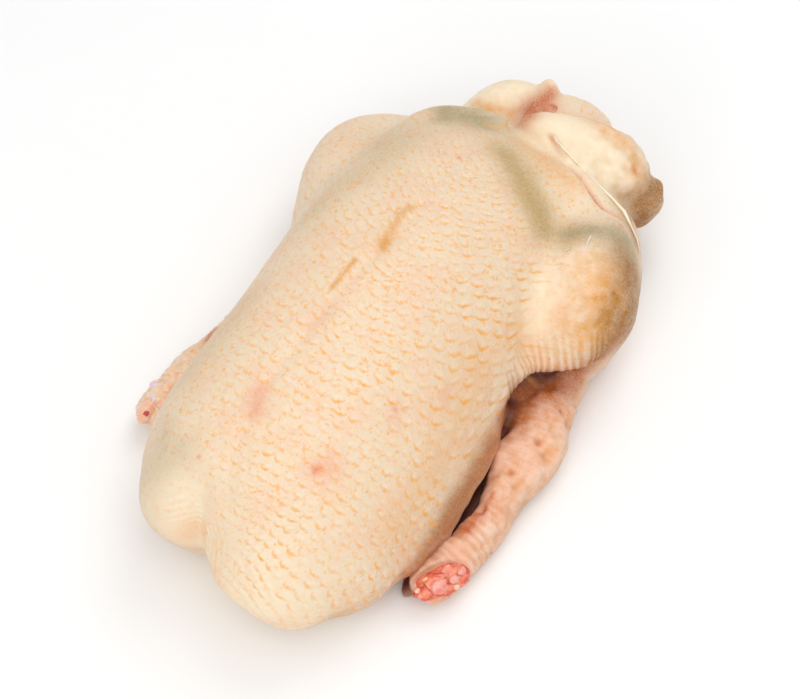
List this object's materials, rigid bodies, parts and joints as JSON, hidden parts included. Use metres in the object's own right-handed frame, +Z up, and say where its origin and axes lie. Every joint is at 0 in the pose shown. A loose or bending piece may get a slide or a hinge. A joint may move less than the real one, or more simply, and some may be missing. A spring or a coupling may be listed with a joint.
{
  "type": "whole duck",
  "caption": "Whole plucked raw duck lying breast up, oven ready, with drumsticks folded across the vent and wings cut at the wrist",
  "frame": {"origin": "centre of the box that holds the duck, on the surface it lies on", "axes": "+Z up through the breast, +Y along the body towards the tail, -Y towards the neck end"},
  "size_m": [0.1916, 0.3338, 0.1044],
  "materials": {
    "duck_skin": "moist pale yellow skin with feather pits"
  },
  "bodies": {
    "root": {"duck": "duck_skin"}
  },
  "joints": []
}
